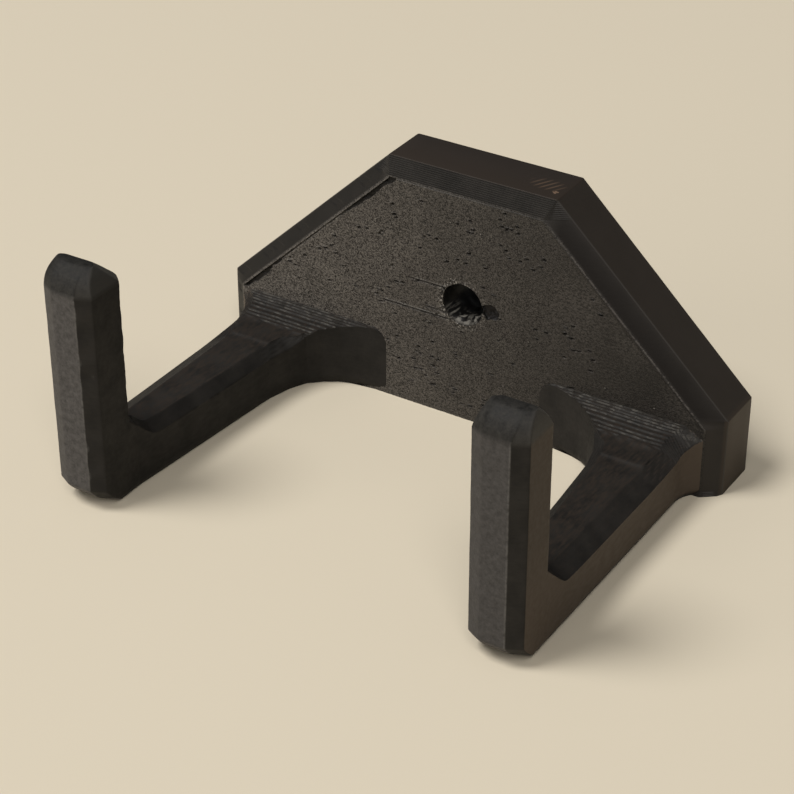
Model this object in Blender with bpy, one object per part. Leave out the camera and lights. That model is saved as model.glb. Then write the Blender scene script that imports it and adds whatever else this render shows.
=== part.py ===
"""Headphone hook: a wedge-shaped wall plate with one screw hole and two flat arms with upright tips.

Axes: +X to the hook's right seen from the front, +Y towards the wall, +Z up. The origin is on the
underside, midway between the ends of the plate and midway between the back and the tips.
All sizes are in metres.
"""
from math import cos, pi, radians, sqrt

import bmesh
import bpy
from mathutils import Vector

# Wall plate
PLATE_WIDTH = 0.0720
PLATE_HEIGHT = 0.0337
PLATE_THICKNESS = 0.0086
PLATE_TOP_WIDTH = 0.0236
PLATE_END_HEIGHT = 0.0105
RIM_WIDTH = 0.0023  # how far the rim chamfer reaches across the front face
RIM_DEPTH = 0.0018  # how far it reaches back along the sides
HOLE_DIAMETER = 0.0058
HOLE_HEIGHT = 0.0166

# Arms and upright tips
ARM_REACH = 0.0417  # from the plate's front face to the front of the tips
ARM_INSET = 0.0038  # from the plate's end to the outer side of an arm
ARM_HEIGHT = 0.0074
ARM_ROOT_WIDTH = 0.0096  # where the straight part of the arm meets the root fillet
TIP_WIDTH = 0.0071
TIP_DEPTH = 0.0073
TIP_HEIGHT = 0.0325

# Fillets and chamfers
ROOT_FILLET_RUN = 0.0096  # elliptical fillet in plan, along an arm's inner side
ROOT_FILLET_SPREAD = 0.0112  # and across the plate's face
ROOT_FLARE_RUN = 0.0030  # length over which an arm's outer side widens to the rim
ROOT_RISE_RUN = 0.0060  # length over which an arm's top sweeps up to the plate
ROOT_RISE = 0.0019
CORNER_GUSSET = 0.0029  # slope between an arm's top and its tip
OUTER_BEVEL = 0.0024  # across the top of an arm, at its outer edge
INNER_BEVEL = 0.0015  # across the top of an arm, at its inner edge
BEVEL_DEPTH = 0.0013  # down the sides of an arm and along the sides of a tip
NOSE_WIDTH = 0.0019  # chamfer of a tip's front corners, across the front
NOSE_DEPTH = 0.0010  # and along the sides
TOE_CHAMFER = 0.0029  # lower front edge of a tip
CROWN_HEIGHT = 0.0031  # height of the sloping faces at the top of a tip
CROWN_FRONT = 0.0024  # how far they slope in from the front
CROWN_BACK = 0.0035  # from the back
CROWN_SIDE = 0.0012  # and from each side

SEAM = 0.0003  # gap between solids that meet
HOLE_SIDES = 48
ROOT_STEPS = 10
OVERCUT = 0.002  # how far a cutter stands outside the solid

FACE_Y = (ARM_REACH - PLATE_THICKNESS) / 2  # front face of the plate
BACK_Y = FACE_Y + PLATE_THICKNESS
FRONT_Y = FACE_Y - ARM_REACH  # front of the tips
TIP_BACK_Y = FRONT_Y + TIP_DEPTH
TIP_OUTER = PLATE_WIDTH / 2 - ARM_INSET
TIP_INNER = TIP_OUTER - TIP_WIDTH
TIP_X = (TIP_OUTER + TIP_INNER) / 2
FACE_HALF = PLATE_WIDTH / 2 - RIM_WIDTH


def clear_scene():
    for item in list(bpy.data.objects):
        bpy.data.objects.remove(item, do_unlink=True)


def collection(name):
    made = bpy.data.collections.new(name)
    bpy.context.scene.collection.children.link(made)
    return made


def plastic(name, color, roughness):
    """A plain moulding or printing plastic for one sub-part."""
    material = bpy.data.materials.new(name)
    material.use_nodes = True
    shader = material.node_tree.nodes["Principled BSDF"]
    shader.inputs["Base Color"].default_value = (*color, 1.0)
    shader.inputs["Roughness"].default_value = roughness
    shader.inputs["Metallic"].default_value = 0.0
    return material


def loft(name, sections, where):
    """A closed solid through sections that all have the same number of corners."""
    shape = bmesh.new()
    rings = [[shape.verts.new(corner) for corner in section] for section in sections]
    count = len(rings[0])
    for low, high in zip(rings, rings[1:]):
        for i in range(count):
            j = (i + 1) % count
            shape.faces.new((low[i], low[j], high[j], high[i]))
    shape.faces.new(rings[0])
    shape.faces.new(rings[-1])
    bmesh.ops.recalc_face_normals(shape, faces=shape.faces)
    mesh = bpy.data.meshes.new(name)
    shape.to_mesh(mesh)
    shape.free()
    made = bpy.data.objects.new(name, mesh)
    where.objects.link(made)
    return made


def as_cutter(made):
    made.hide_render = True
    made.display_type = "WIRE"
    return made


def cut(target, cutter):
    modifier = target.modifiers.new(cutter.name, "BOOLEAN")
    modifier.operation = "DIFFERENCE"
    modifier.solver = "EXACT"
    modifier.object = cutter


def side_profile(name, points, width, centre_x, where):
    """A (y, z) outline with a thickness along X, made as a filled curve and turned into a mesh."""
    curve = bpy.data.curves.new(name, "CURVE")
    curve.dimensions = "2D"
    curve.fill_mode = "BOTH"
    curve.extrude = width / 2
    spline = curve.splines.new("POLY")
    spline.points.add(len(points) - 1)
    for point, (y, z) in zip(spline.points, points):
        point.co = (y, z, 0.0, 1.0)
    spline.use_cyclic_u = True
    drawn = bpy.data.objects.new(name + "_outline", curve)
    drawn.rotation_euler = (radians(90), 0.0, radians(90))
    drawn.location.x = centre_x
    where.objects.link(drawn)
    bpy.context.view_layer.update()
    mesh = bpy.data.meshes.new_from_object(drawn.evaluated_get(bpy.context.evaluated_depsgraph_get()))
    mesh.name = name
    mesh.materials.clear()
    shape = bmesh.new()
    shape.from_mesh(mesh)
    bmesh.ops.remove_doubles(shape, verts=shape.verts, dist=0.00001)
    bmesh.ops.recalc_face_normals(shape, faces=shape.faces)
    shape.to_mesh(mesh)
    shape.free()
    made = bpy.data.objects.new(name, mesh)
    made.matrix_world = drawn.matrix_world
    where.objects.link(made)
    bpy.data.objects.remove(drawn)
    bpy.data.curves.remove(curve)
    return made


def wedge(name, start, end, leg_a, leg_b, where):
    """A three-sided cutter that takes a chamfer off the edge from start to end.

    leg_a and leg_b lead from the edge, along its two faces, to the chamfer's own edges.
    """
    along = (Vector(end) - Vector(start)).normalized() * OVERCUT
    leg_a = Vector(leg_a)
    leg_b = Vector(leg_b)
    sections = []
    for point in (Vector(start) - along, Vector(end) + along):
        outside = point - (leg_a.normalized() + leg_b.normalized()) * OVERCUT
        sections.append((point + leg_a + (leg_a - leg_b), point + leg_b + (leg_b - leg_a), outside))
    return as_cutter(loft(name, sections, where))


def plate_outline(inset, y):
    """The plate's six corners, anticlockwise from the lower left, moved in from all but the underside."""
    half = PLATE_WIDTH / 2
    half_top = PLATE_TOP_WIDTH / 2
    slope = Vector((half - half_top, PLATE_HEIGHT - PLATE_END_HEIGHT)).normalized()
    along_top = inset * (1 - slope.x) / slope.y
    down_end = inset * (1 - slope.y) / slope.x
    right = [
        (half - inset, 0.0),
        (half - inset, PLATE_END_HEIGHT - down_end),
        (half_top - along_top, PLATE_HEIGHT - inset),
    ]
    left = [(-x, z) for x, z in reversed(right)]
    return [(x, y, z) for x, z in right + left]


def make_back_plate(parts, cutters):
    sections = [
        plate_outline(0.0, BACK_Y),
        plate_outline(0.0, FACE_Y + RIM_DEPTH),
        plate_outline(RIM_WIDTH, FACE_Y),
    ]
    plate = loft("back_plate", sections, parts)
    bpy.ops.mesh.primitive_cylinder_add(
        vertices=HOLE_SIDES,
        radius=HOLE_DIAMETER / 2,
        depth=PLATE_THICKNESS + 2 * OVERCUT,
        location=(0.0, (FACE_Y + BACK_Y) / 2, HOLE_HEIGHT),
        rotation=(radians(90), 0.0, 0.0),
    )
    drill = bpy.context.object
    drill.name = "screw_hole_cutter"
    for owner in list(drill.users_collection):
        owner.objects.unlink(drill)
    cutters.objects.link(drill)
    cut(plate, as_cutter(drill))
    plate.data.materials.append(plastic("plate_plastic", (0.030, 0.027, 0.025), 0.62))
    return plate


def sweep_up(run, rise, distance):
    """Rise of an arc that leaves its line smoothly and has climbed all of its rise after its run."""
    radius = (run**2 + rise**2) / (2 * rise)
    return radius - sqrt(radius**2 - distance**2)


def arm_top(s):
    """Height of an arm at distance s in front of the plate's face."""
    if s < ROOT_RISE_RUN:
        return ARM_HEIGHT + sweep_up(ROOT_RISE_RUN, ROOT_RISE, ROOT_RISE_RUN - s)
    ramp_start = ARM_REACH - TIP_DEPTH - CORNER_GUSSET
    return ARM_HEIGHT + max(s - ramp_start, 0.0)


def arm_inner(s):
    """Distance of an arm's inner side from the middle of the hook."""
    at_tip = ARM_REACH - TIP_DEPTH
    root_inner = TIP_OUTER - ARM_ROOT_WIDTH
    if s < ROOT_FILLET_RUN:
        share = (ROOT_FILLET_RUN - s) / ROOT_FILLET_RUN
        return root_inner - ROOT_FILLET_SPREAD * (1 - sqrt(1 - share**2))
    share = (s - ROOT_FILLET_RUN) / (at_tip - ROOT_FILLET_RUN)
    return root_inner + share * (TIP_INNER - root_inner)


def arm_outer(s):
    """Distance of an arm's outer side from the middle of the hook."""
    widening = FACE_HALF - TIP_OUTER
    if s >= ROOT_FLARE_RUN:
        return TIP_OUTER
    return TIP_OUTER + sweep_up(ROOT_FLARE_RUN, widening, ROOT_FLARE_RUN - s)


def arm_stations():
    """Distances from the plate's face at which an arm's section is set out."""
    first = SEAM
    last = ARM_REACH - TIP_DEPTH - SEAM
    length = ROOT_FILLET_RUN - first
    curved = [first + length * (1 - cos(pi / 2 * k / ROOT_STEPS)) for k in range(ROOT_STEPS + 1)]
    turns = [ROOT_FLARE_RUN, ROOT_RISE_RUN, last - CORNER_GUSSET + SEAM]
    return sorted(curved + turns + [last])


def arm_section(s, side):
    inner = arm_inner(s)
    outer = arm_outer(s)
    top = arm_top(s)
    corners = [
        (outer, 0.0),
        (inner, 0.0),
        (inner, top - BEVEL_DEPTH),
        (inner + INNER_BEVEL, top),
        (outer - OUTER_BEVEL, top),
        (outer, top - BEVEL_DEPTH),
    ]
    return [(side * x, FACE_Y - s, z) for x, z in corners]


def make_arm(name, side, parts):
    arm = loft(name, [arm_section(s, side) for s in arm_stations()], parts)
    arm.data.materials.append(plastic(name + "_plastic", (0.026, 0.024, 0.022), 0.55))
    return arm


def tip_profile():
    """A tip's outline seen from the side, with its cut-off toe and its sloping crown."""
    shoulder = TIP_HEIGHT - CROWN_HEIGHT
    return [
        (FRONT_Y, TOE_CHAMFER),
        (FRONT_Y + TOE_CHAMFER, 0.0),
        (TIP_BACK_Y, 0.0),
        (TIP_BACK_Y, shoulder),
        (TIP_BACK_Y - CROWN_BACK, TIP_HEIGHT),
        (FRONT_Y + CROWN_FRONT, TIP_HEIGHT),
        (FRONT_Y, shoulder),
    ]


def make_tip(name, side, parts, cutters):
    tip = side_profile(name, tip_profile(), TIP_WIDTH, side * TIP_X, parts)
    shoulder = TIP_HEIGHT - CROWN_HEIGHT
    gusset_top = ARM_HEIGHT + CORNER_GUSSET
    edges = (
        ("outer", TIP_OUTER, -1, OUTER_BEVEL),
        ("inner", TIP_INNER, 1, INNER_BEVEL),
    )
    for label, edge_x, inward, back_width in edges:
        x = side * edge_x
        across = side * inward
        front = wedge(
            f"{name}_{label}_nose",
            (x, FRONT_Y, 0.0),
            (x, FRONT_Y, TIP_HEIGHT),
            (across * NOSE_WIDTH, 0.0, 0.0),
            (0.0, NOSE_DEPTH, 0.0),
            cutters,
        )
        back = wedge(
            f"{name}_{label}_back",
            (x, TIP_BACK_Y, gusset_top + OVERCUT),
            (x, TIP_BACK_Y, TIP_HEIGHT),
            (across * back_width, 0.0, 0.0),
            (0.0, -BEVEL_DEPTH, 0.0),
            cutters,
        )
        crown = wedge(
            f"{name}_{label}_crown",
            (x, FRONT_Y, TIP_HEIGHT),
            (x, TIP_BACK_Y, TIP_HEIGHT),
            (across * CROWN_SIDE, 0.0, 0.0),
            (0.0, 0.0, shoulder - TIP_HEIGHT),
            cutters,
        )
        for cutter in (front, back, crown):
            cut(tip, cutter)
    tip.data.materials.append(plastic(name + "_plastic", (0.040, 0.040, 0.041), 0.66))
    return tip


def main():
    clear_scene()
    parts = collection("headphone_hook")
    cutters = collection("cutters")
    make_back_plate(parts, cutters)
    for label, side in (("left", -1), ("right", 1)):
        make_arm(label + "_arm", side, parts)
        make_tip(label + "_tip", side, parts, cutters)


main()
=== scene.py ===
"""Headphone hook: the surfaces of its one-piece print, built layer by layer on the frame."""
import math
import random

import bmesh
import bpy
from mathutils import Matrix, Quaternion, Vector, noise


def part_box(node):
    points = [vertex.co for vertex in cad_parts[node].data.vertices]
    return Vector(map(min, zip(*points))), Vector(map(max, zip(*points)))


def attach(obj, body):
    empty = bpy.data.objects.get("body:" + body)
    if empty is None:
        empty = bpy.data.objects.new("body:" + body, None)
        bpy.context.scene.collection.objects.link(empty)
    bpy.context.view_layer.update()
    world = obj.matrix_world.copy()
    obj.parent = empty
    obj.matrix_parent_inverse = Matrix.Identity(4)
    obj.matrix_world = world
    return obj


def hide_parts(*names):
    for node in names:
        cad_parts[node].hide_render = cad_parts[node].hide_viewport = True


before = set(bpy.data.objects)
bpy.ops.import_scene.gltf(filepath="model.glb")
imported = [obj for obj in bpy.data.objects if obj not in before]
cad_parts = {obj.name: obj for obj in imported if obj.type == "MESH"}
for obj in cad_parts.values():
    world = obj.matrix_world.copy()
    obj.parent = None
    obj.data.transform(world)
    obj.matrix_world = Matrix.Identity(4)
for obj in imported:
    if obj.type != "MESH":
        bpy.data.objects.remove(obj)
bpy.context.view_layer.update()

MM = 0.001
LAYERS_IN_PLATE = 168

# The frame's own boxes give where everything is
plate_low, plate_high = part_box("back_plate")
tip_low, tip_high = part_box("right_tip")
FACE_Y = plate_low[1]
BACK_Y = plate_high[1]
PLATE_HALF = plate_high[0]
PLATE_TOP = plate_high[2]
FRONT_Y = tip_low[1]
TIP_BACK_Y = tip_high[1]
TIP_INNER = tip_low[0]
TIP_OUTER = tip_high[0]
TIP_TOP = tip_high[2]
FOOT_Z = plate_low[2]

# Sizes inside those boxes, as in the part
TOP_HALF = 11.8 * MM
END_HEIGHT = 10.5 * MM
RIM_WIDTH = 2.3 * MM
RIM_DEPTH = 1.8 * MM
HOLE_RADIUS = 2.9 * MM
HOLE_Z = 16.6 * MM
ARM_TOP = 7.4 * MM
FLARE_RUN = 3.0 * MM
GUSSET = 2.9 * MM
OUTER_BEVEL = 2.4 * MM
INNER_BEVEL = 1.5 * MM
BEVEL_DEPTH = 1.3 * MM
NOSE_WIDTH = 1.9 * MM
NOSE_DEPTH = 1.0 * MM
TOE = 2.9 * MM
CROWN = 3.1 * MM
CROWN_FRONT = 2.4 * MM
CROWN_BACK = 3.5 * MM
CROWN_SIDE = 1.2 * MM

ARM_LENGTH = FACE_Y - TIP_BACK_Y
LAYER = (PLATE_TOP - FOOT_Z) / LAYERS_IN_PLATE
GROOVE = 0.022 * MM  # depth of the line between two layers
SIDE_GROOVE = 0.010 * MM  # the same on the smooth sides of the arms and tips
BURIED = 0.25 * MM  # how far a piece runs into its neighbour
TINY = 0.02 * MM  # the least size of a bevel

# An arm's inner side: distance from the plate's face and from the middle of the hook, in mm
FILLET_FLATS = (
    (ARM_LENGTH / MM, TIP_INNER / MM),
    (9.6, 23.0),
    (6.2, 22.2),
    (3.9, 21.1),
    (2.4, 19.5),
    (1.15, 17.5),
    (0.42, 14.9),
    (0.0, 11.3),
    (-1.0, 11.1),
)
FILLET_END = 11.2 * MM  # where the fillet ends on the plate's face
END_ROUND = 2.8 * MM  # rounding of its upper corner there

TUCK = 0.45 * MM  # how far the foot of an arm or a tip is drawn in
TUCK_HIGH = 1.3 * MM
ARM_SOFTNESS = 0.7 * MM  # over which the slope at the tip begins

# The face's surface
BEAD_WAVER = 0.006 * MM  # how far a printed line wavers in and out
SIDE_WAVE = 0.02 * MM  # slow waves of the sides
FOOT_HIGH = 0.8 * MM  # the lowest lines of the plate, which bulge
FOOT_BULGE = 0.07 * MM
CORNER_BULGE = 0.22 * MM  # more at the front corner on the right
LONG_THREADS = ((14.0, -11.5), (18.3, -7.8))  # height and left end, in mm
SHORT_THREAD = (14.9, -5.5)
THREADS_END = -2.4  # x, in mm, where they reach the hole
TORN_WIDTH = 1.4 * MM  # of the torn ring around the hole
PIT_REACH = 0.36 * MM  # how far above or below a ring a pit can still touch it
FACE_POINTS = 230  # across the face, in each ring
SPOT_CELL = 0.0022
SPOT_STRETCH = (0.75, 0, 1.3)
STROKE_SPACING = 0.80 * MM
CHIP_PLACE = (3.9 * MM, FACE_Y, FOOT_Z + HOLE_Z + 0.1 * MM)
CHIP_SIZES = (1.35 * MM, 0.7 * MM, 1.05 * MM)
END_Z = FOOT_Z + END_HEIGHT

# Distances from the plate's face, in mm, at which the arm's top steps up by one layer
ROOT_LEDGES = (8.06, 3.82, 3.31, 2.81, 2.09, 1.40, 1.01, 0.68, 0.34, 0.04)


def clamp(value, low=0.0, high=1.0):
    return max(low, min(high, value))


def smooth(low, high, value):
    t = clamp((value - low) / (high - low))
    return t * t * (3 - 2 * t)


def ripple(point, size, seed=0.0):
    """Soft noise from -1 to 1 with features of the given size in metres."""
    x, y, z = point
    return noise.noise(Vector((x / size + seed, y / size - seed, z / size + 2 * seed)))


def bead_noise(x, y, layer, size, seed=0.0):
    """Noise along one printed line, unrelated to the line above it."""
    return noise.noise(Vector((x / size + seed, y / size + 3.7 * layer, 11.3 * layer + seed)))


def outline(corners, counts, radii, arc=3):
    """A closed plan outline, rounded at its corners; counts[i] points follow corner i."""
    points = []
    n = len(corners)
    corners = [Vector(corner) for corner in corners]
    for i, corner in enumerate(corners):
        before = corners[i - 1]
        after = corners[(i + 1) % n]
        to_before = before - corner
        to_after = after - corner
        reach = min(radii[i], 0.45 * to_before.length, 0.45 * to_after.length)
        start = corner + to_before.normalized() * reach
        end = corner + to_after.normalized() * reach
        for k in range(arc):
            t = k / arc
            points.append(start * (1 - t) ** 2 + corner * 2 * t * (1 - t) + end * t * t)
        next_reach = min(radii[(i + 1) % n], 0.45 * to_after.length)
        finish = after - to_after.normalized() * next_reach
        for k in range(counts[i]):
            points.append(end.lerp(finish, k / counts[i]))
    return points


def outward(points):
    """Outward directions in plan, for an outline that runs anticlockwise seen from above."""
    found = []
    n = len(points)
    for i in range(n):
        along = points[(i + 1) % n] - points[i - 1]
        if along.length < 1e-9:
            along = Vector((1.0, 0.0))
        along.normalize()
        found.append(Vector((along.y, -along.x)))
    return found


def loft(name, rings):
    """A closed mesh through rings that all have the same number of points."""
    shape = bmesh.new()
    made = [[shape.verts.new(point) for point in ring] for ring in rings]
    n = len(rings[0])
    for low, high in zip(made, made[1:]):
        for i in range(n):
            j = (i + 1) % n
            shape.faces.new((low[i], low[j], high[j], high[i]))
    shape.faces.new(made[0][::-1])
    shape.faces.new(made[-1])
    bmesh.ops.remove_doubles(shape, verts=shape.verts, dist=1e-6)
    bmesh.ops.recalc_face_normals(shape, faces=shape.faces)
    ends = [face for face in shape.faces if len(face.verts) > 4]
    bmesh.ops.triangulate(shape, faces=ends)
    mesh = bpy.data.meshes.new(name)
    shape.to_mesh(mesh)
    shape.free()
    piece = bpy.data.objects.new(name, mesh)
    bpy.context.scene.collection.objects.link(piece)
    return piece


def finish_piece(piece, material, node):
    mesh = piece.data
    for polygon in mesh.polygons:
        polygon.use_smooth = True
    mesh.set_sharp_from_angle(angle=math.radians(50))
    mesh.materials.append(material)
    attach(piece, "root")
    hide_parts(node)


# ---------------------------------------------------------------- wall plate

def plate_half(z, inset):
    """Half the width of the plate's outline at height z, for the outline moved in by inset."""
    slope = Vector((PLATE_HALF - TOP_HALF, PLATE_TOP - END_HEIGHT)).normalized()
    down_end = inset * (1 - slope.y) / slope.x
    along_top = inset * (1 - slope.x) / slope.y
    knee = END_HEIGHT - down_end
    if z <= knee:
        return PLATE_HALF - inset
    top = PLATE_TOP - inset
    share = clamp((z - knee) / (top - knee))
    return (PLATE_HALF - inset) + share * ((TOP_HALF - along_top) - (PLATE_HALF - inset))


def make_pits(rng):
    """Small gaps in the printed lines of the face: a scatter, and a few thicker groups of them."""
    groups = [
        # middle x, middle z, spread x, spread z, how many (mm)
        (0.0, 16.5, 32.0, 15.0, 50),
        (-20.0, 18.3, 3.4, 2.0, 8),
        (-25.5, 14.7, 0.9, 1.4, 4),
        (-10.3, 27.2, 0.8, 1.8, 4),
        (-14.5, 23.5, 3.0, 1.5, 4),
        (-4.8, 25.0, 1.0, 4.0, 3),
        (1.2, 27.6, 2.2, 1.0, 6),
        (6.6, 29.2, 2.2, 1.0, 6),
        (0.2, 22.3, 2.8, 1.0, 4),
        (8.7, 25.4, 2.6, 1.6, 7),
        (-8.9, 16.7, 1.2, 0.8, 3),
        (-12.0, 14.5, 3.0, 2.0, 5),
        (-5.0, 7.0, 5.0, 3.0, 12),
        (2.0, 3.4, 7.0, 1.4, 12),
        (16.5, 8.8, 3.0, 1.4, 5),
        (15.0, 15.5, 4.0, 3.0, 7),
    ]
    pits = []
    for mid_x, mid_z, spread_x, spread_z, count in groups:
        for _ in range(count):
            x = (mid_x + rng.gauss(0, 0.5) * spread_x) * MM
            z = (mid_z + rng.gauss(0, 0.5) * spread_z) * MM
            long = rng.uniform(0.17, 0.30) * MM
            high = rng.uniform(0.10, 0.17) * MM
            deep = rng.uniform(0.22, 0.5) * MM
            pits.append((x, z, long, high, deep))
    return pits


def face_relief(x, z, layer, pits, half_front):
    """How far a point of the plate's front face stands out from it; pits are negative."""
    relief = BEAD_WAVER * bead_noise(x, 0.0, layer, 0.55 * MM)
    relief += 0.008 * MM * bead_noise(x, 0.0, layer, 1.6 * MM, 5.0)
    for px, pz, long, high, deep in pits:
        away_x = (x - px) / long
        away_z = (z - pz) / high
        reach = 1 - away_x**2 - away_z**2
        if reach > 0:
            relief -= deep * min(1.0, 1.8 * reach)
        elif reach > -2.2 and away_x < 0.2 and away_z > -0.4:
            relief += 0.09 * MM
    # a ragged groove inside the left slanted edge, and a thin lip inside the right one
    from_left = x + half_front
    from_right = half_front - x
    if z > END_HEIGHT - 1.0 * MM:
        rag = ripple((0, 0, z), 1.6 * MM, 2.0) + 0.5 * ripple((0, 0, z), 0.5 * MM, 4.0)
        near_ends = 0.35 + 0.65 * max(smooth(16 * MM, 12 * MM, z), smooth(24 * MM, 28 * MM, z))
        wide = (0.85 + 0.45 * rag) * MM * near_ends
        if 0.08 * MM < from_left < 0.08 * MM + wide:
            relief -= (0.50 + 0.25 * rag) * MM * near_ends
        elif from_left < 1.0 * MM + wide:
            relief += 0.03 * MM * ripple((x, 0, z), 0.5 * MM, 5.0)
        if from_right < 0.3 * MM:
            relief += 0.06 * MM
    # broken threads that run into the hole from the left
    for thread_z, thread_start in (*LONG_THREADS, SHORT_THREAD):
        off = z / MM - thread_z
        if thread_start < x / MM < THREADS_END and abs(off) < 0.22:
            torn = 0.6 + 0.7 * ripple((x, 0, 0), 0.9 * MM, thread_z)
            relief += (0.10 if off > 0.07 else -0.20) * MM * torn
    around = math.hypot(x, z - HOLE_Z) - HOLE_RADIUS
    if 0 < around < TORN_WIDTH:
        rough = ripple((x, 0, z), 0.42 * MM, 8.0) + 0.5 * ripple((x, 0, z), 0.9 * MM, 3.0)
        left_side = 1.0 if x < 0.5 * MM else 0.5
        relief += 0.13 * MM * rough * (1 - around / TORN_WIDTH) * left_side
    # the lowest lines between the arms are rough
    if z < 0.9 * MM and abs(x) < 22 * MM:
        relief += 0.06 * MM * ripple((x, 0, z), 0.45 * MM, 3.0)
    return relief


def plate_ring(layer, z, lift, pits):
    """One ring of the plate at height z, moved out by lift; the top of the rim is stepped."""
    mid = (layer + 0.5) * LAYER
    yc = FACE_Y + RIM_DEPTH
    level = z
    if PLATE_TOP - z < RIM_WIDTH:
        level = z + 0.75 * (mid - z)
    top_inset = PLATE_TOP - level
    if top_inset < RIM_WIDTH:
        front_y = FACE_Y + RIM_DEPTH * (1 - top_inset / RIM_WIDTH)
        half_front = plate_half(level, top_inset)
    else:
        front_y = FACE_Y
        half_front = plate_half(level, RIM_WIDTH)
    half = plate_half(z, 0.0)
    corners = [
        (-half, BACK_Y),
        (-half, yc),
        (-half_front, front_y),
        (half_front, front_y),
        (half, yc),
        (half, BACK_Y),
    ]
    counts = [4, 5, FACE_POINTS, 5, 4, 14]
    radii = [0.3 * MM, 0.22 * MM, 0.06 * MM, 0.06 * MM, 0.22 * MM, 0.3 * MM]
    points = outline(corners, counts, radii)
    foot = max(0.0, 1 - mid / FOOT_HIGH)
    near = [pit for pit in pits if abs(pit[1] - z) < PIT_REACH]
    ring = []
    for point, way in zip(points, outward(points)):
        amount = lift * (0.4 if point.y > yc + 0.3 * MM else 1.0)
        amount += BEAD_WAVER * bead_noise(point.x, point.y, layer, 1.4 * MM)
        amount += SIDE_WAVE * ripple((point.x, point.y, z), 5 * MM)
        amount += FOOT_BULGE * foot * (0.6 + 0.5 * ripple((point.x, point.y, 0), 3 * MM))
        if 30 * MM < point.x < PLATE_HALF - 0.3 * MM and point.y < yc + 0.1 * MM:
            amount += CORNER_BULGE * foot
        if abs(point.y - front_y) < 1e-7 and front_y == FACE_Y:
            amount += face_relief(point.x, z, layer, near, half_front)
        elif point.x < -TOP_HALF and point.y < yc + 1e-7 and abs(point.x) < half - 0.7 * MM:
            # dashes along the left rim
            torn = ripple((0, 0, z), 1.3 * MM, 9.0)
            if torn > 0.12:
                off_line = abs(half - abs(point.x) - 1.2 * MM)
                amount -= 0.16 * MM * smooth(0.5 * MM, 0.1 * MM, off_line)
        moved = point + way * amount
        ring.append((moved.x, moved.y, FOOT_Z + z))
    return ring


def make_plate(pits):
    rings = []
    for layer in range(LAYERS_IN_PLATE):
        low = layer * LAYER
        rings.append(plate_ring(layer, low, -GROOVE, pits))
        rings.append(plate_ring(layer, low + 0.5 * LAYER, 0.0, pits))
        if PLATE_TOP - low < RIM_WIDTH:
            rings.append(plate_ring(layer, low + 0.94 * LAYER, -GROOVE, pits))
    rings.append(plate_ring(LAYERS_IN_PLATE - 1, PLATE_TOP - FOOT_Z, -2.5 * GROOVE, pits))
    return loft("visual_plate", rings)


def bore_cutter():
    """The hole's shape: a round bore with uneven lines, and lumps low inside."""
    rings = []
    steps = 26
    sides = 72
    start = FACE_Y - 1.5 * MM
    end = BACK_Y + 1.5 * MM
    for k in range(steps + 1):
        y = start + (end - start) * k / steps
        ring = []
        for i in range(sides):
            a = 2 * math.pi * i / sides
            x = math.cos(a)
            z = math.sin(a)
            place = (x * HOLE_RADIUS, y, z * HOLE_RADIUS)
            radius = HOLE_RADIUS
            radius += 0.07 * MM * ripple(place, 0.6 * MM, 1.0)
            radius += 0.10 * MM * ripple(place, 2.0 * MM, 6.0)
            inside = y - FACE_Y
            lump = smooth(0.2 * MM, 1.2 * MM, inside) * smooth(-0.35, -0.9, z)
            radius -= lump * (0.35 + 0.4 * ripple((x * HOLE_RADIUS, y, 0), 0.9 * MM, 9.0)) * MM
            ring.append((x * radius, y, FOOT_Z + HOLE_Z + z * radius))
        rings.append(ring)
    return loft("bore", rings)


def chip_cutter():
    """A rough lump that takes a broken piece out of the face beside the hole."""
    shape = bmesh.new()
    bmesh.ops.create_icosphere(shape, subdivisions=4, radius=1.0)
    for vert in shape.verts:
        rough = 1 + 0.28 * noise.noise(vert.co * 2.1 + Vector((3.0, 0, 0)))
        vert.co = vert.co * Vector(CHIP_SIZES) * rough + Vector(CHIP_PLACE)
    mesh = bpy.data.meshes.new("chip")
    shape.to_mesh(mesh)
    shape.free()
    made = bpy.data.objects.new("chip", mesh)
    bpy.context.scene.collection.objects.link(made)
    return made


def cut(piece, cutters):
    for cutter in cutters:
        modifier = piece.modifiers.new(cutter.name, "BOOLEAN")
        modifier.operation = "DIFFERENCE"
        modifier.solver = "EXACT"
        modifier.object = cutter
    bpy.context.view_layer.update()
    seen = piece.evaluated_get(bpy.context.evaluated_depsgraph_get())
    mesh = bpy.data.meshes.new_from_object(seen)
    piece.modifiers.clear()
    old = piece.data
    piece.data = mesh
    bpy.data.meshes.remove(old)
    for cutter in cutters:
        spare = cutter.data
        bpy.data.objects.remove(cutter)
        bpy.data.meshes.remove(spare)


# ---------------------------------------------------------------- arms

def along(points, s):
    """The value at s on a line of (s, value) points in mm, falling in s."""
    s = s / MM
    for (s_far, far), (s_near, near) in zip(points, points[1:]):
        if s >= s_near:
            return MM * (near + (far - near) * (min(s, s_far) - s_near) / (s_far - s_near))
    return MM * points[-1][1]


def arm_inner(s):
    """An arm's inner side from the middle of the hook, with the flats of the root fillet."""
    return along(FILLET_FLATS, s)


def arm_outer(s):
    widening = PLATE_HALF - RIM_WIDTH - TIP_OUTER
    if s >= FLARE_RUN:
        return TIP_OUTER
    distance = FLARE_RUN - max(s, 0.0)
    radius = (FLARE_RUN**2 + widening**2) / (2 * widening)
    return TIP_OUTER + radius - math.sqrt(radius**2 - distance**2)


def ledge_profile():
    """(distance, height) along the arm's top near the plate: halfway up a step at each ledge."""
    points = [(ledge * MM, ARM_TOP + (k + 0.5) * LAYER) for k, ledge in enumerate(ROOT_LEDGES)]
    return [(11.5 * MM, ARM_TOP)] + points + [(-BURIED, points[-1][1] + LAYER)]


LEDGES = ledge_profile()
BASE = round(ARM_TOP / LAYER) * LAYER - ARM_TOP


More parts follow.
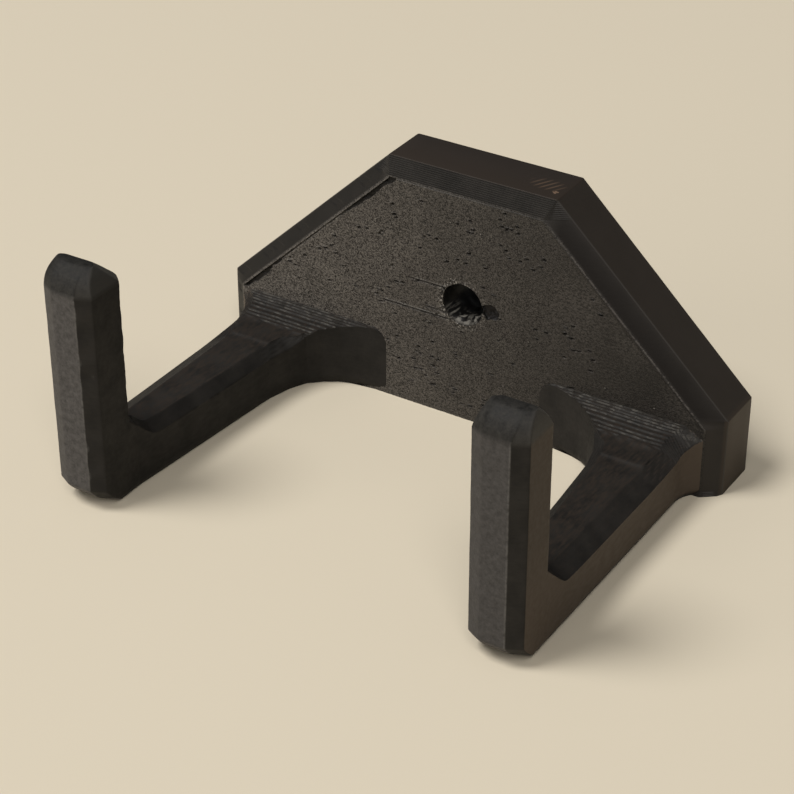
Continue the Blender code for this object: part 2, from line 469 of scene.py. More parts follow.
def arm_top(s):
    """Smooth height of the arm's top at distance s in front of the plate's face."""
    root = ARM_TOP
    for (s_far, z_far), (s_near, z_near) in zip(LEDGES, LEDGES[1:]):
        if s_near <= s <= s_far:
            root = z_far + (z_near - z_far) * (s_far - s) / (s_far - s_near)
    climb = s - (ARM_LENGTH - GUSSET)
    return root + (climb + math.sqrt(climb**2 + ARM_SOFTNESS**2)) / 2


def stair(height, sharp):
    """A height drawn towards whole layers; sharp is 1 for full steps and 0 for none."""
    level = (height + BASE) / LAYER
    whole = math.floor(level)
    part = smooth(0.44, 0.56, level - whole)
    return height + sharp * ((whole + part) * LAYER - BASE - height)


SIDE_TALLEST = round((ARM_TOP + GUSSET) / LAYER)


def arm_stations():
    """Distances from the plate's face, close together where the ledges are."""
    found = [-BURIED, 0.0, 0.02 * MM, 0.05 * MM]
    s = 0.1 * MM
    while s < ARM_LENGTH - 0.2 * MM:
        found.append(s)
        if s < 4.3 * MM:
            s += 0.085 * MM
        elif 7.7 * MM < s < 8.4 * MM:
            s += 0.07 * MM
        else:
            s += 0.33 * MM if s < ARM_LENGTH - GUSSET - 0.6 * MM else 0.2 * MM
    return found + [ARM_LENGTH + 0.004 * MM]


def side_tuck(z):
    """The lowest lines of an arm's sides are drawn in a little."""
    return TUCK * max(0.0, 1 - z / TUCK_HIGH) ** 2


def side_drift(x, y, z, layer, lift):
    """How far a side stands out: the round of each line, its waver, and the tuck at the foot."""
    drift = lift + BEAD_WAVER * bead_noise(x, y, layer, 1.4 * MM)
    drift += SIDE_WAVE * ripple((x, y, z), 5 * MM)
    return drift - side_tuck(z)


def end_limit(x):
    """The height that the rounded upper corner of the root fillet leaves at x from the middle."""
    full = arm_top(0.0) + LAYER
    inside = clamp((x - FILLET_END) / END_ROUND)
    return full - END_ROUND * (1 - math.sqrt(1 - (1 - inside) ** 2))


def arm_side(edge, way, y, side, side_top):
    """Points up one side of an arm, two to a layer, as far as the side goes."""
    whole = math.floor(side_top / LAYER)
    points = []
    for j in range(SIDE_TALLEST):
        for share, lift in ((0.0, -SIDE_GROOVE), (0.5, 0.0)):
            z = side_top if j >= whole else (j + share) * LAYER
            lift = 0.0 if j >= whole else lift
            drift = side_drift(side * edge, y, z, min(j, whole), lift)
            points.append((edge + way.x * drift, y + way.y * drift, z))
    return points


def arm_ring(s, side):
    top = arm_top(s)
    inner = arm_inner(s)
    outer = arm_outer(s)
    ahead = max(s, 0.0)
    step = 0.02 * MM
    slope_in = (arm_inner(ahead + step) - arm_inner(ahead)) / step
    slope_out = (arm_outer(ahead + step) - arm_outer(ahead)) / step
    y = FACE_Y - s
    way_in = Vector((-1.0, -slope_in)).normalized()
    way_out = Vector((1.0, slope_out)).normalized()
    beveled = smooth(2.6 * MM, 6.5 * MM, s)
    bevel_in = INNER_BEVEL * beveled
    bevel_out = OUTER_BEVEL
    if side < 0:  # narrower near the plate on the left
        bevel_out *= 0.55 + 0.45 * smooth(3.5 * MM, 9 * MM, s)
    drop_in = BEVEL_DEPTH * beveled
    rise_in = arm_side(inner, way_in, y, side, min(top - drop_in, end_limit(inner)))
    rise_out = arm_side(outer, way_out, y, side, top - BEVEL_DEPTH)
    near_root = smooth(11 * MM, 8.5 * MM, s)
    bevel_sharp = 0.8 * near_root + 0.12
    across = []
    for k in range(1, 10):
        share = k / 10
        across.append((inner + bevel_in * share, top - drop_in * (1 - share), bevel_sharp))
    for k in range(21):
        flat = outer - bevel_out - inner - bevel_in
        across.append((inner + bevel_in + flat * (k / 20) ** 1.3, top, near_root))
    for k in range(1, 16):
        share = k / 16
        across.append((outer - bevel_out * (1 - share), top - BEVEL_DEPTH * share, bevel_sharp))
    uneven = 0.35 * LAYER * near_root * smooth(9 * MM, 4 * MM, s)
    crest = []
    for x, height, sharp in across:
        waver = uneven * bead_noise(side * x, 0.0, 0, 1.3 * MM, 1.5)
        z = min(stair(height + waver, sharp), end_limit(x))
        z += BEAD_WAVER * ripple((side * x, y, 0), 1.1 * MM, 2.0)
        crest.append((x, y, z))
    under = [(outer + (inner - outer) * k / 12, y, 0.0) for k in range(1, 12)]
    ring = rise_in + crest + rise_out[::-1] + under
    result = [(side * x, py, FOOT_Z + z) for x, py, z in ring]
    return result if side > 0 else result[::-1]


def make_arm(name, side):
    return loft(name, [arm_ring(s, side) for s in arm_stations()])


# ---------------------------------------------------------------- upright tips

def tip_plan(z):
    """The tip's outline at height z: corners, their radii, and how far its back bevels go."""
    t = clamp((z - (TIP_TOP - FOOT_Z - CROWN)) / CROWN)
    bulge = 0.30 * t + 0.70 * t**3
    y_front = FRONT_Y + TOE * clamp(1 - z / TOE) ** 1.25 + CROWN_FRONT * bulge
    y_back = TIP_BACK_Y - CROWN_BACK * (0.85 * t + 0.15 * t**3)
    x_in = TIP_INNER + CROWN_SIDE * (0.7 * t + 0.3 * t**3)
    x_out = TIP_OUTER - 0.5 * CROWN_SIDE * bulge
    grown = clamp((z - (ARM_TOP + GUSSET - BEVEL_DEPTH)) / BEVEL_DEPTH)
    shrink = 1 - 0.45 * t
    fuller = grown * shrink * (1 - 0.55 * t)
    nose_x = NOSE_WIDTH * shrink
    nose_y = NOSE_DEPTH * shrink
    back_y = max(BEVEL_DEPTH * grown * shrink, TINY)
    back_in = max(INNER_BEVEL * grown * shrink, TINY)
    out_y = max(BEVEL_DEPTH * fuller, TINY)
    back_out = max(OUTER_BEVEL * fuller, TINY)
    corners = [
        (x_in + nose_x, y_front),
        (x_out - nose_x, y_front),
        (x_out, y_front + nose_y),
        (x_out, y_back - out_y),
        (x_out - back_out, y_back),
        (x_in + back_in, y_back),
        (x_in, y_back - back_y),
        (x_in, y_front + nose_y),
    ]
    edge = (0.18 + 0.22 * t) * MM
    behind = edge * grown + TINY
    radii = [edge, edge, edge, behind, behind, behind, behind, edge]
    return corners, radii, grown, (x_in, x_out, y_front, y_back)


def tip_ring(layer, z, lift, side):
    corners, radii, grown, (x_in, x_out, y_front, y_back) = tip_plan(z)
    points = outline(corners, [12, 6, 14, 7, 11, 6, 14, 6], radii)
    above = smooth(11 * MM, 13 * MM, z)
    lumps = 0.30 * ripple((0, 0, z), 2.3 * MM, 3.0 + side)
    lumps += 0.16 * ripple((0, 0, z), 0.9 * MM, 5.0)
    front_wave = 0.15 * MM * ripple((0, 0, z), 2.0 * MM, 6.0 + side)
    middle = (x_in + x_out) / 2
    ring = []
    for point, way in zip(points, outward(points)):
        x = side * point.x
        from_in = point.x - x_in
        amount = side_drift(x, point.y, z, layer, lift)
        amount += above * 0.03 * MM * ripple((x, point.y, z), 2.6 * MM, 4.0)
        at_back = smooth(1.8 * MM, 0.4 * MM, abs(point.y - y_back))
        amount += above * at_back * smooth(2.2 * MM, 0.6 * MM, from_in) * MM * lumps
        at_front = smooth(1.2 * MM, 0.3 * MM, point.y - y_front)
        amount += at_front * smooth(2.2 * MM, 0.8 * MM, from_in) * front_wave
        moved = point + way * amount
        if grown == 0.0 and point.y > y_back - 3 * TINY:
            # the rear face meets the arm's end: its corners stay in line with the sides
            reach = (x_out - x_in) / 2 + amount
            moved = Vector((middle + clamp((point.x - middle) * 1.02, -reach, reach), y_back))
        ring.append((side * moved.x, moved.y, FOOT_Z + z))
    return ring if side > 0 else ring[::-1]


def make_tip(name, side):
    rings = []
    count = round((TIP_TOP - FOOT_Z) / LAYER)
    for layer in range(count):
        low = layer * LAYER
        rings.append(tip_ring(layer, low, -SIDE_GROOVE, side))
        rings.append(tip_ring(layer, low + 0.5 * LAYER, 0.0, side))
    rings.append(tip_ring(count - 1, count * LAYER, -4 * SIDE_GROOVE, side))
    return loft(name, rings)


# ---------------------------------------------------------------- materials

class Finish:
    """One procedural material, built up from textures in the object's own coordinates."""

    def __init__(self, name, shine):
        self.material = bpy.data.materials.new(name)
        self.material.use_nodes = True
        self.tree = self.material.node_tree
        self.shader = self.tree.nodes["Principled BSDF"]
        self.shader.inputs["Specular IOR Level"].default_value = shine
        self.where = self.tree.nodes.new("ShaderNodeTexCoord")
        self.place = self.split(self.where.outputs["Object"])
        self.facing = self.split(self.where.outputs["Normal"])
        self.ahead = self.times(self.facing[1], -1.0)

    def split(self, vector):
        node = self.tree.nodes.new("ShaderNodeSeparateXYZ")
        self.tree.links.new(vector, node.inputs[0])
        return node.outputs

    def feed(self, value, socket):
        if isinstance(value, (int, float)):
            socket.default_value = value
        elif isinstance(value, tuple):
            socket.default_value = (*value, 1.0)
        else:
            self.tree.links.new(value, socket)

    def math(self, operation, first, second=0.0, third=0.0):
        node = self.tree.nodes.new("ShaderNodeMath")
        node.operation = operation
        for value, socket in zip((first, second, third), node.inputs):
            self.feed(value, socket)
        return node.outputs[0]

    def times(self, first, *others):
        for other in others:
            first = self.math("MULTIPLY", first, other)
        return first

    def rest(self, share):
        return self.math("SUBTRACT", 1.0, share)

    def absolute(self, value):
        return self.math("ABSOLUTE", value)

    def squared(self, value, middle, scale=1.0):
        """((value - middle) / scale) squared."""
        scaled = self.math("DIVIDE", self.math("SUBTRACT", value, middle), scale)
        return self.math("POWER", scaled, 2.0)

    def distance(self, first, first_middle, second, second_middle):
        squares = (self.squared(first, first_middle), self.squared(second, second_middle))
        return self.math("SQRT", self.math("ADD", *squares))

    def ramp(self, value, low, high, to_low=0.0, to_high=1.0):
        """Value from low to high turned into to_low to to_high, and held outside them."""
        node = self.tree.nodes.new("ShaderNodeMapRange")
        for number, socket in zip((low, high, to_low, to_high), list(node.inputs)[1:5]):
            socket.default_value = number
        self.feed(value, node.inputs["Value"])
        return node.outputs["Result"]

    def texture(self, kind, size, stretch, shift=(0, 0, 0)):
        """A texture with features of the given size in metres, longer where stretch is smaller."""
        mapping = self.tree.nodes.new("ShaderNodeMapping")
        mapping.inputs["Scale"].default_value = stretch
        mapping.inputs["Location"].default_value = shift
        self.tree.links.new(self.where.outputs["Object"], mapping.inputs["Vector"])
        node = self.tree.nodes.new(kind)
        node.inputs["Scale"].default_value = 1 / size
        self.tree.links.new(mapping.outputs["Vector"], node.inputs["Vector"])
        return node

    def noise(self, size, detail=2.0, stretch=(1, 1, 1)):
        node = self.texture("ShaderNodeTexNoise", size, stretch)
        node.inputs["Detail"].default_value = detail
        return node.outputs["Fac"]

    def spots(self, size, spread, stretch, shift=(0, 0, 0)):
        """One small round spot in each cell of the given size; spread is its radius in cells."""
        node = self.texture("ShaderNodeTexVoronoi", size, stretch, shift)
        return self.ramp(node.outputs["Distance"], spread, spread * 0.55)

    def mix(self, share, first, second):
        node = self.tree.nodes.new("ShaderNodeMix")
        node.data_type = "RGBA"
        self.feed(share, node.inputs[0])
        self.feed(first, node.inputs[6])
        self.feed(second, node.inputs[7])
        return node.outputs[2]

    def close(self, colour, roughness, height, depth):
        self.feed(colour, self.shader.inputs["Base Color"])
        self.feed(roughness, self.shader.inputs["Roughness"])
        relief = self.tree.nodes.new("ShaderNodeBump")
        relief.inputs["Strength"].default_value = 1.0
        relief.inputs["Distance"].default_value = depth
        self.feed(height, relief.inputs["Height"])
        self.tree.links.new(relief.outputs["Normal"], self.shader.inputs["Normal"])
        return self.material


# Colours of the same black plastic where its surface differs, and painted light, shade and
# reflections on parts of it
SMOOTH_DARK = (0.0115, 0.0105, 0.0092)
SMOOTH_LIGHT = (0.0200, 0.0180, 0.0157)
# painted shade in the face's pits and gaps
GAP_PAINTED_SHADE = (0.006, 0.0055, 0.005)
# painted glint on the lit edges of the pits
PIT_PAINTED_GLINT = (0.24, 0.225, 0.20)
FACE_DARK = (0.0105, 0.0091, 0.0075)
FACE_MIDDLE = (0.0195, 0.0170, 0.0138)
# painted sheen on the plate's face
FACE_PAINTED_SHEEN = (0.190, 0.172, 0.150)
# painted light on the plate's slanted sides
SLANT_PAINTED_LIGHT = (0.032, 0.0255, 0.0200)
# painted reflection of the floor on the plate's ends
PLATE_END_PAINTED_REFLECTION = (0.043, 0.0315, 0.0225)
# painted reflection of the floor on the outer sides: the tips' upper part, then the arms and the
# tips' lower part
TIP_SIDE_PAINTED_REFLECTION = (0.054, 0.041, 0.030)
LOW_SIDE_PAINTED_REFLECTION = (0.072, 0.055, 0.041)
TOP_BROWN = (0.027, 0.0200, 0.0150)
# painted shade on the right rim, and painted light on its lowest part
RIGHT_RIM_PAINTED_SHADE = (0.0062, 0.0042, 0.0027)
END_RIM_PAINTED_LIGHT = (0.025, 0.0210, 0.0180)
# painted shade on the left rim
LEFT_RIM_PAINTED_SHADE = (0.003, 0.0028, 0.0025)
# painted highlight along the ridge of the plate's rim
RIDGE_PAINTED_HIGHLIGHT = (0.042, 0.0385, 0.034)
LEDGE_LIGHT = (0.068, 0.064, 0.056)
# painted highlight on the lip at the face's right edge
LIP_PAINTED_HIGHLIGHT = (0.085, 0.076, 0.066)
STROKE = (0.100, 0.066, 0.043)
TOP_BRIGHT_PATCH = (0.17, 0.112, 0.075)
# painted highlight on torn flakes around the hole
FLAKE_PAINTED_HIGHLIGHT = (0.30, 0.28, 0.25)
# painted highlight on the upper edges of loose threads
THREAD_PAINTED_HIGHLIGHT = (0.105, 0.098, 0.086)
# painted shade inside the chip
CHIP_PAINTED_SHADE = (0.006, 0.005, 0.0045)
# painted shade inside the bore, and painted highlight streaks low in it
BORE_PAINTED_SHADE = (0.0058, 0.0053, 0.0048)
BORE_PAINTED_HIGHLIGHT = (0.17, 0.16, 0.14)
CROWN_DARK = (0.009, 0.0085, 0.0077)
CROWN_LIGHT = (0.027, 0.0255, 0.0225)
# painted light on the crown's right-facing side
CROWN_PAINTED_SIDE_LIGHT = (0.052, 0.049, 0.044)
TIP_DARK = (0.024, 0.0225, 0.0215)
# painted sheen on the tips' fronts
TIP_FRONT_PAINTED_SHEEN = (0.085, 0.080, 0.076)
# painted highlight along the right edge of the tips' fronts
TIP_EDGE_PAINTED_HIGHLIGHT = (0.115, 0.110, 0.102)


def smooth_skin(finish):
    """Colour of the smooth sides: dark, with soft blotches and a trace of the printed lines."""
    blotch = finish.noise(0.0035, 3.0)
    lines = finish.noise(0.0016, 2.0, (1, 1, 6))
    both = finish.math("MULTIPLY_ADD", lines, 0.22, blotch)
    return finish.mix(finish.ramp(both, 0.46, 0.76), SMOOTH_DARK, SMOOTH_LIGHT)


def gritty_face(finish, speck):
    """The plate's front: fine speckle, with a painted sheen brighter towards the left, small dark
    spots of painted shade in pits and painted glints beside them.
    """
    x = finish.place[0]
    speckle = finish.ramp(speck, 0.52, 1.06)
    patchy = finish.ramp(finish.noise(0.006, 2.0), 0.3, 0.7, 0.78, 1.0)
    # painted sheen: strongest at the left of the face, fading to the right
    sheen = finish.ramp(x, -24 * MM, 20 * MM, 0.91, 0.065)
    lit = finish.times(speckle, patchy, sheen)
    colour = finish.mix(lit, finish.mix(speckle, FACE_DARK, FACE_MIDDLE), FACE_PAINTED_SHEEN)
    # painted shade in small pits as dark spots, and painted glints from the same spots moved aside
    spot = finish.spots(SPOT_CELL, 0.075, SPOT_STRETCH)
    glint = finish.spots(SPOT_CELL, 0.050, SPOT_STRETCH, (0.16 * MM, 0, -0.12 * MM))
    colour = finish.mix(finish.times(spot, 0.85), colour, GAP_PAINTED_SHADE)
    return finish.mix(finish.times(glint, 0.7), colour, PIT_PAINTED_GLINT)


def plate_sides(finish, colour):
    """The smooth sides and the rim: a painted floor reflection on the ends, painted light on the
    slants, painted shade and light on the rims, and a painted highlight along the ridge between.
    """
    x, y, z = finish.place
    nx, ny, nz = finish.facing
    # painted reflection of the floor on the ends
    ends = finish.ramp(finish.absolute(x), PLATE_HALF - 0.5 * MM, PLATE_HALF - 0.25 * MM)
    colour = finish.mix(ends, colour, PLATE_END_PAINTED_REFLECTION)
    # painted light on the slanted sides, set by which way they face
    slanted = finish.times(
        finish.ramp(finish.absolute(nx), 0.35, 0.55),
        finish.ramp(nz, 0.30, 0.50),
    )
    colour = finish.mix(finish.times(slanted, 0.75), colour, SLANT_PAINTED_LIGHT)
    # painted shade on the right rim, with painted light on its part below the end's top
    right_rim = finish.times(
        finish.ramp(x, 11.5 * MM, 13.0 * MM),
        finish.ramp(finish.ahead, 0.25, 0.50),
        finish.ramp(y, FACE_Y + 2.0 * MM, FACE_Y + 0.6 * MM, 0.35, 0.95),
    )
    low = finish.ramp(z, END_Z + 0.4 * MM, END_Z - 0.6 * MM)
    colour = finish.mix(finish.times(right_rim, low), colour, END_RIM_PAINTED_LIGHT)
    colour = finish.mix(finish.times(right_rim, finish.rest(low)), colour, RIGHT_RIM_PAINTED_SHADE)
    # painted shade on the left rim
    left_rim = finish.times(
        finish.ramp(x, -11.5 * MM, -12.5 * MM),
        finish.ramp(ny, -0.25, -0.6),
    )
    colour = finish.mix(finish.times(left_rim, 0.6), colour, LEFT_RIM_PAINTED_SHADE)
    rim_y = FACE_Y + RIM_DEPTH
    # painted highlight along the ridge between the rim and the side
    ridge = finish.times(
        finish.ramp(finish.ahead, 0.12, 0.25),
        finish.ramp(finish.ahead, 0.68, 0.55),
        finish.ramp(y, rim_y + 0.5 * MM, rim_y + 0.3 * MM),
    )
    return finish.mix(finish.times(ridge, 0.8), colour, RIDGE_PAINTED_HIGHLIGHT)


def plate_top(finish, colour):
    """The top: brown, with slanting strokes and one bright ragged patch near its right end."""
    x, y, z = finish.place
    top = finish.ramp(z, PLATE_TOP - 0.12 * MM, PLATE_TOP - 0.04 * MM)
    colour = finish.mix(top, colour, TOP_BROWN)
    across = finish.math("SUBTRACT", finish.times(x, 0.88), finish.times(y, 0.477))
    wave = finish.math("SINE", finish.times(across, 2 * math.pi / STROKE_SPACING))
    patch = finish.math(
        "ADD",
        finish.squared(x, 8.9 * MM, 2.6 * MM),
        finish.squared(y, 21.3 * MM, 1.5 * MM),
    )
    drawn = finish.times(top, finish.ramp(wave, 0.1, 0.9), finish.ramp(patch, 1.0, 0.2))
    colour = finish.mix(finish.times(drawn, 0.85), colour, STROKE)
    from_bright_patch = finish.distance(x, 10.75 * MM, y, 20.0 * MM)
    ragged = finish.math("MULTIPLY_ADD", finish.noise(0.00035, 1.0), 1.3 * MM, from_bright_patch)
    bright_patch = finish.times(top, finish.ramp(ragged, 1.04 * MM, 0.84 * MM))
    return finish.mix(bright_patch, colour, TOP_BRIGHT_PATCH)


def right_lip(finish, colour, grain):
    """A painted highlight on the thin edge between the face and the right rim."""
    x, y, z = finish.place
    lip = finish.times(
        finish.ramp(y, FACE_Y, FACE_Y + 0.06 * MM),
        finish.ramp(y, FACE_Y + 0.17 * MM, FACE_Y + 0.10 * MM),
        finish.ramp(x, 11.0 * MM, 13.0 * MM),
        finish.ramp(finish.ahead, 0.45, 0.65),
        finish.ramp(grain, 0.38, 0.60, 0.10, 0.8),
        finish.ramp(z, END_Z - 2 * MM, END_Z, 0.25, 1.0),
    )
    return finish.mix(lip, colour, LIP_PAINTED_HIGHLIGHT)


def torn_rim(finish, colour, face, from_hole, torn):
    """The face around the hole: painted highlights on torn flakes and painted shade in the gaps
    between them, most on the left.
    """
    rim = finish.times(
        finish.ramp(from_hole, HOLE_RADIUS + 1.1 * MM, HOLE_RADIUS + 0.1 * MM),
        finish.ramp(finish.place[0], 1.5 * MM, -1.0 * MM, 0.45, 1.0),
        face,
    )
    colour = finish.mix(finish.times(rim, finish.ramp(torn, 0.56, 0.66)), colour, FLAKE_PAINTED_HIGHLIGHT)
    return finish.mix(finish.times(rim, finish.ramp(torn, 0.44, 0.36)), colour, GAP_PAINTED_SHADE)


def broken_thread(finish, colour, face, torn, thread_z, start):
    """One loose thread of the face, with painted shade in its gap and a painted highlight on its
    upper edge.
    """
    x, y, z = finish.place
    off = finish.math("SUBTRACT", z, FOOT_Z + thread_z * MM)
    run = finish.times(
        finish.ramp(x, (start - 0.6) * MM, start * MM),
        finish.ramp(x, -1.6 * MM, -2.2 * MM),
        finish.ramp(finish.noise(0.0011, 1.0, (1, 1, 0)), 0.38, 0.48),
        face,
    )
    shade = finish.ramp(finish.absolute(off), 0.13 * MM, 0.06 * MM)
    above = finish.absolute(finish.math("SUBTRACT", off, 0.2 * MM))
    gleam = finish.times(
        finish.ramp(above, 0.12 * MM, 0.05 * MM),
        finish.ramp(torn, 0.44, 0.54),
    )
    colour = finish.mix(finish.times(run, shade), colour, GAP_PAINTED_SHADE)
    return finish.mix(finish.times(run, gleam), colour, THREAD_PAINTED_HIGHLIGHT)


def chip_and_bore(finish, colour, from_hole):
    """Painted shade in the chip beside the hole, and in the bore, with a few painted highlight
    streaks low inside.
    """
    x, y, z = finish.place
    from_chip = finish.distance(x, 4.1 * MM, z, FOOT_Z + HOLE_Z + 0.1 * MM)
    # painted shade inside the chip
    chip = finish.times(
        finish.ramp(from_chip, 1.9 * MM, 1.6 * MM),
        finish.ramp(y, FACE_Y + 0.06 * MM, FACE_Y + 0.14 * MM),
    )
    colour = finish.mix(chip, colour, CHIP_PAINTED_SHADE)
    # painted shade inside the bore
    bore = finish.times(
        finish.ramp(from_hole, HOLE_RADIUS + 0.3 * MM, HOLE_RADIUS + 0.05 * MM),
        finish.ramp(y, FACE_Y + 0.1 * MM, FACE_Y + 0.5 * MM),
    )
    # painted highlight streaks on the lumps low inside the bore
    streak = finish.times(
        finish.ramp(finish.noise(0.0009, 2.0, (1, 0.35, 3)), 0.46, 0.62),
        finish.ramp(z, FOOT_Z + HOLE_Z - 0.9 * MM, FOOT_Z + HOLE_Z - 1.5 * MM),
        finish.ramp(y, FACE_Y + 3.4 * MM, FACE_Y + 2.2 * MM),
    )
    return finish.mix(bore, colour, finish.mix(streak, BORE_PAINTED_SHADE, BORE_PAINTED_HIGHLIGHT))


def plate_finish():
    finish = Finish("plate_print", 0.22)
    x, y, z = finish.place
    face = finish.ramp(y, FACE_Y + 0.28 * MM, FACE_Y + 0.08 * MM)
    grain = finish.noise(0.00030, 1.0, (0.8, 1, 1.2))
    speck = finish.math("MULTIPLY_ADD", grain, 0.55, finish.noise(0.00013, 0.0))
    torn = finish.noise(0.00028, 1.0)
    from_hole = finish.distance(x, 0.0, z, FOOT_Z + HOLE_Z)
    colour = plate_sides(finish, smooth_skin(finish))
    colour = plate_top(finish, colour)
    colour = finish.mix(face, colour, gritty_face(finish, speck))
    colour = right_lip(finish, colour, grain)
    colour = torn_rim(finish, colour, face, from_hole, torn)
    for thread_z, start in LONG_THREADS:
        colour = broken_thread(finish, colour, face, torn, thread_z, start)
    colour = chip_and_bore(finish, colour, from_hole)
    relief = finish.times(speck, finish.ramp(face, 0, 1, 0.12, 1.0))
    return finish.close(colour, finish.ramp(face, 0, 1, 0.52, 0.60), relief, 0.05 * MM)


def arm_finish():
    finish = Finish("arm_print", 0.18)
    x, y, z = finish.place
    nx, ny, nz = finish.facing
    # painted reflection of the floor on the arm's outer side
    outer = finish.times(
        finish.ramp(finish.absolute(x), TIP_OUTER - 0.55 * MM, TIP_OUTER - 0.3 * MM),
        finish.ramp(finish.absolute(nz), 0.45, 0.2),
    )
    colour = finish.mix(outer, smooth_skin(finish), LOW_SIDE_PAINTED_REFLECTION)
    brushed = finish.noise(0.0006, 2.0, (1.6, 0.45, 1))
    top = finish.times(finish.ramp(nz, 0.85, 0.97), finish.ramp(brushed, 0.35, 0.75))
    colour = finish.mix(top, colour, TOP_BROWN)
    # the small steps near the plate catch the light
    riser = finish.times(
        finish.ramp(finish.ahead, 0.55, 0.80),
        finish.ramp(nz, 0.15, 0.40),
        finish.ramp(finish.absolute(nx), 0.50, 0.30, 0.25, 1.0),
        finish.ramp(y, FACE_Y - 9.2 * MM, FACE_Y - 8.8 * MM),
        finish.ramp(finish.noise(0.0007, 2.0), 0.42, 0.62, 0.08, 1.0),
    )
    colour = finish.mix(riser, colour, LEDGE_LIGHT)
    relief = finish.math("MULTIPLY_ADD", finish.noise(0.0003, 2.0), 0.5, brushed)
    rough = finish.ramp(brushed, 0.3, 0.7, 0.55, 0.68)
    return finish.close(colour, rough, relief, 0.01 * MM)


def tip_finish():
    finish = Finish("tip_print", 0.18)
    x, y, z = finish.place
    nx, ny, nz = finish.facing
    mottle = finish.noise(0.0007, 3.0)
    both = finish.math("MULTIPLY_ADD", finish.noise(0.00025, 1.0), 0.5, mottle)
    # painted reflection of the floor on the tip's outer side, lighter low down
    outer = finish.times(
        finish.ramp(finish.absolute(x), TIP_OUTER - 0.75 * MM, TIP_OUTER - 0.35 * MM),
        finish.ramp(finish.ahead, 0.3, 0.1),
    )
    height = finish.ramp(z, FOOT_Z + 16 * MM, FOOT_Z + 9 * MM)
    side_painted_reflection = finish.mix(height, TIP_SIDE_PAINTED_REFLECTION, LOW_SIDE_PAINTED_REFLECTION)
    colour = finish.mix(outer, smooth_skin(finish), side_painted_reflection)
    crown_z = FOOT_Z + TIP_TOP - CROWN
    crown = finish.ramp(z, crown_z - 0.3 * MM, crown_z + 0.4 * MM)
    dome = finish.mix(finish.ramp(both, 0.5, 1.0), CROWN_DARK, CROWN_LIGHT)
    # painted light on the side of the crown that faces right
    dome = finish.mix(finish.ramp(nx, 0.25, 0.60, 0.0, 0.7), dome, CROWN_PAINTED_SIDE_LIGHT)
    colour = finish.mix(crown, colour, dome)
    # the front face, as far round as its own facets turn: its own mottle, with a painted sheen
    # lighter towards the left, and a painted highlight along its right edge
    turned = finish.math("DIVIDE", nx, finish.math("MAXIMUM", finish.ahead, 0.01))
    facing_front = finish.ramp(finish.ahead, 0.60, 0.75)
    front = finish.times(
        finish.ramp(turned, 0.45, 0.30),
        finish.ramp(turned, -0.75, -0.65),
        facing_front,
    )
    # painted sheen: the fronts lighter towards the left
    level = finish.ramp(x, -24 * MM, 24 * MM, 1.15, 0.80)
    light = finish.mix(
        finish.times(finish.ramp(both, 0.30, 1.15), level), TIP_DARK, TIP_FRONT_PAINTED_SHEEN
    )
    below = finish.rest(crown)
    colour = finish.mix(finish.times(front, below), colour, light)
    # painted highlight along the right edge of the front
    edge = finish.times(
        finish.ramp(turned, 0.06, 0.20),
        finish.ramp(turned, 0.46, 0.34),
        facing_front,
        below,
        finish.ramp(mottle, 0.35, 0.60, 0.10, 0.55),
    )
    colour = finish.mix(edge, colour, TIP_EDGE_PAINTED_HIGHLIGHT)
    relief = finish.times(both, finish.ramp(front, 0, 1, 0.25, 1.0))
    return finish.close(colour, finish.ramp(mottle, 0.3, 0.7, 0.55, 0.68), relief, 0.05 * MM)


plate_plastic = plate_finish()
arm_plastic = arm_finish()
tip_plastic = tip_finish()

plate = make_plate(make_pits(random.Random(72)))
cut(plate, [bore_cutter(), chip_cutter()])
finish_piece(plate, plate_plastic, "back_plate")
for label, side in (("left", -1), ("right", 1)):
    arm = make_arm(f"visual_{label}_arm", side)
    finish_piece(arm, arm_plastic, f"{label}_arm")
    tip = make_tip(f"visual_{label}_tip", side)
    finish_piece(tip, tip_plastic, f"{label}_tip")


# ---------------------------------------------------------------- floor, light and camera

def floor_material():
    material = bpy.data.materials.new("pale_floor")
    material.use_nodes = True
    shader = material.node_tree.nodes["Principled BSDF"]
    shader.inputs["Base Color"].default_value = (0.715, 0.642, 0.505, 1)
    shader.inputs["Roughness"].default_value = 0.9
    shader.inputs["Specular IOR Level"].default_value = 0.1
    return material


FLOOR_REACH = 9.0
floor_signs = ((-1, -1), (1, -1), (1, 1), (-1, 1))
floor_corners = [(FLOOR_REACH * x, FLOOR_REACH * y, 0) for x, y in floor_signs]
floor_mesh = bpy.data.meshes.new("floor")
floor_mesh.from_pydata(floor_corners, [], [(0, 1, 2, 3)])
floor = bpy.data.objects.new("floor", floor_mesh)
floor.location.z = FOOT_Z
floor_mesh.materials.append(floor_material())
bpy.context.scene.collection.objects.link(floor)


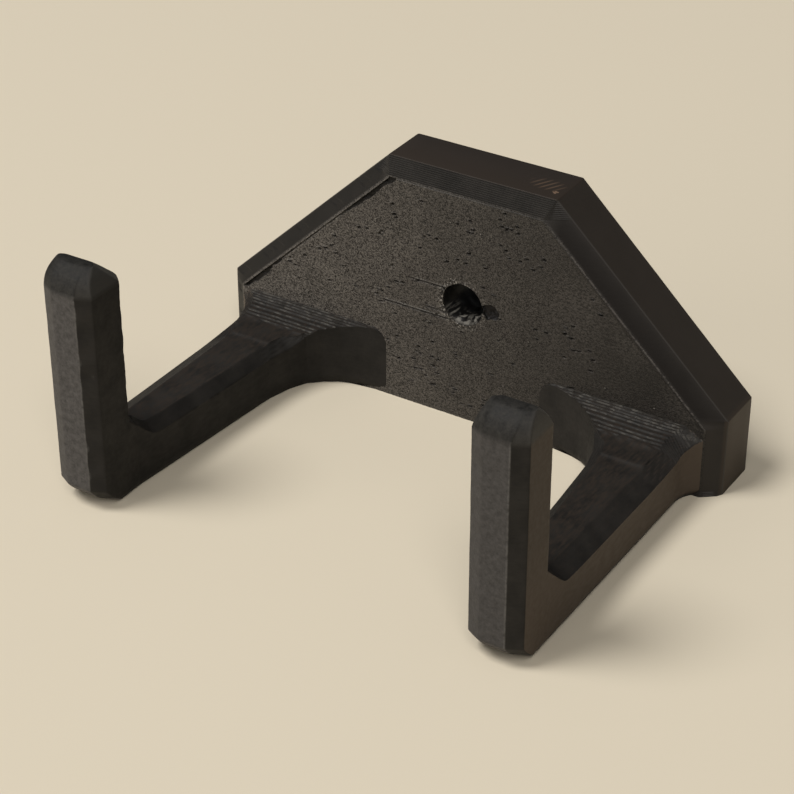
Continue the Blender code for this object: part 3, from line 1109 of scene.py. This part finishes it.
def softbox(name, azimuth, elevation, distance, size, power, colour):
    """A round light that looks at the hook from a compass angle (0 is the front, 90 the right)."""
    lamp = bpy.data.lights.new(name, "AREA")
    lamp.shape = "DISK"
    lamp.size = size
    lamp.energy = power
    lamp.color = colour
    made = bpy.data.objects.new(name, lamp)
    a = math.radians(azimuth)
    e = math.radians(elevation)
    way = Vector((math.sin(a) * math.cos(e), -math.cos(a) * math.cos(e), math.sin(e)))
    made.location = way * distance
    made.rotation_euler = way.to_track_quat("Z", "Y").to_euler()
    bpy.context.scene.collection.objects.link(made)


softbox("left", -46, 61, 3.5, 1.5, 79, (1, 0.985, 0.97))
softbox("camera_side", 32, 52, 3.5, 1.6, 38, (1, 0.97, 0.94))
softbox("low_left", -45, 12, 0.8, 0.4, 1.30, (1, 0.95, 0.90))
softbox("low_front", -15, 12, 0.8, 0.4, 0.70, (1, 0.93, 0.90))

world = bpy.data.worlds.new("studio")
world.use_nodes = True
world.node_tree.nodes["Background"].inputs["Color"].default_value = (1.0, 1.0, 1.0, 1)
world.node_tree.nodes["Background"].inputs["Strength"].default_value = 0.13
bpy.context.scene.world = world
bpy.context.scene.view_settings.view_transform = "Standard"

CAMERA_AZIMUTH = 32.168
CAMERA_ELEVATION = 32.038
CAMERA_ROLL = 0.09
CAMERA_PLACE = (0.1275, -0.2015, 0.1611)
lens = bpy.data.cameras.new("camera")
lens.sensor_width = 36.0
lens.lens = 105.86
lens.clip_start = 0.01
lens.clip_end = 20.0
camera = bpy.data.objects.new("camera", lens)
a = math.radians(CAMERA_AZIMUTH)
e = math.radians(CAMERA_ELEVATION)
ahead = Vector((-math.sin(a) * math.cos(e), math.cos(a) * math.cos(e), -math.sin(e)))
turn = Quaternion(ahead, math.radians(CAMERA_ROLL)) @ ahead.to_track_quat("-Z", "Y")
camera.rotation_mode = "QUATERNION"
camera.rotation_quaternion = turn
camera.location = CAMERA_PLACE
bpy.context.scene.collection.objects.link(camera)
bpy.context.scene.camera = camera
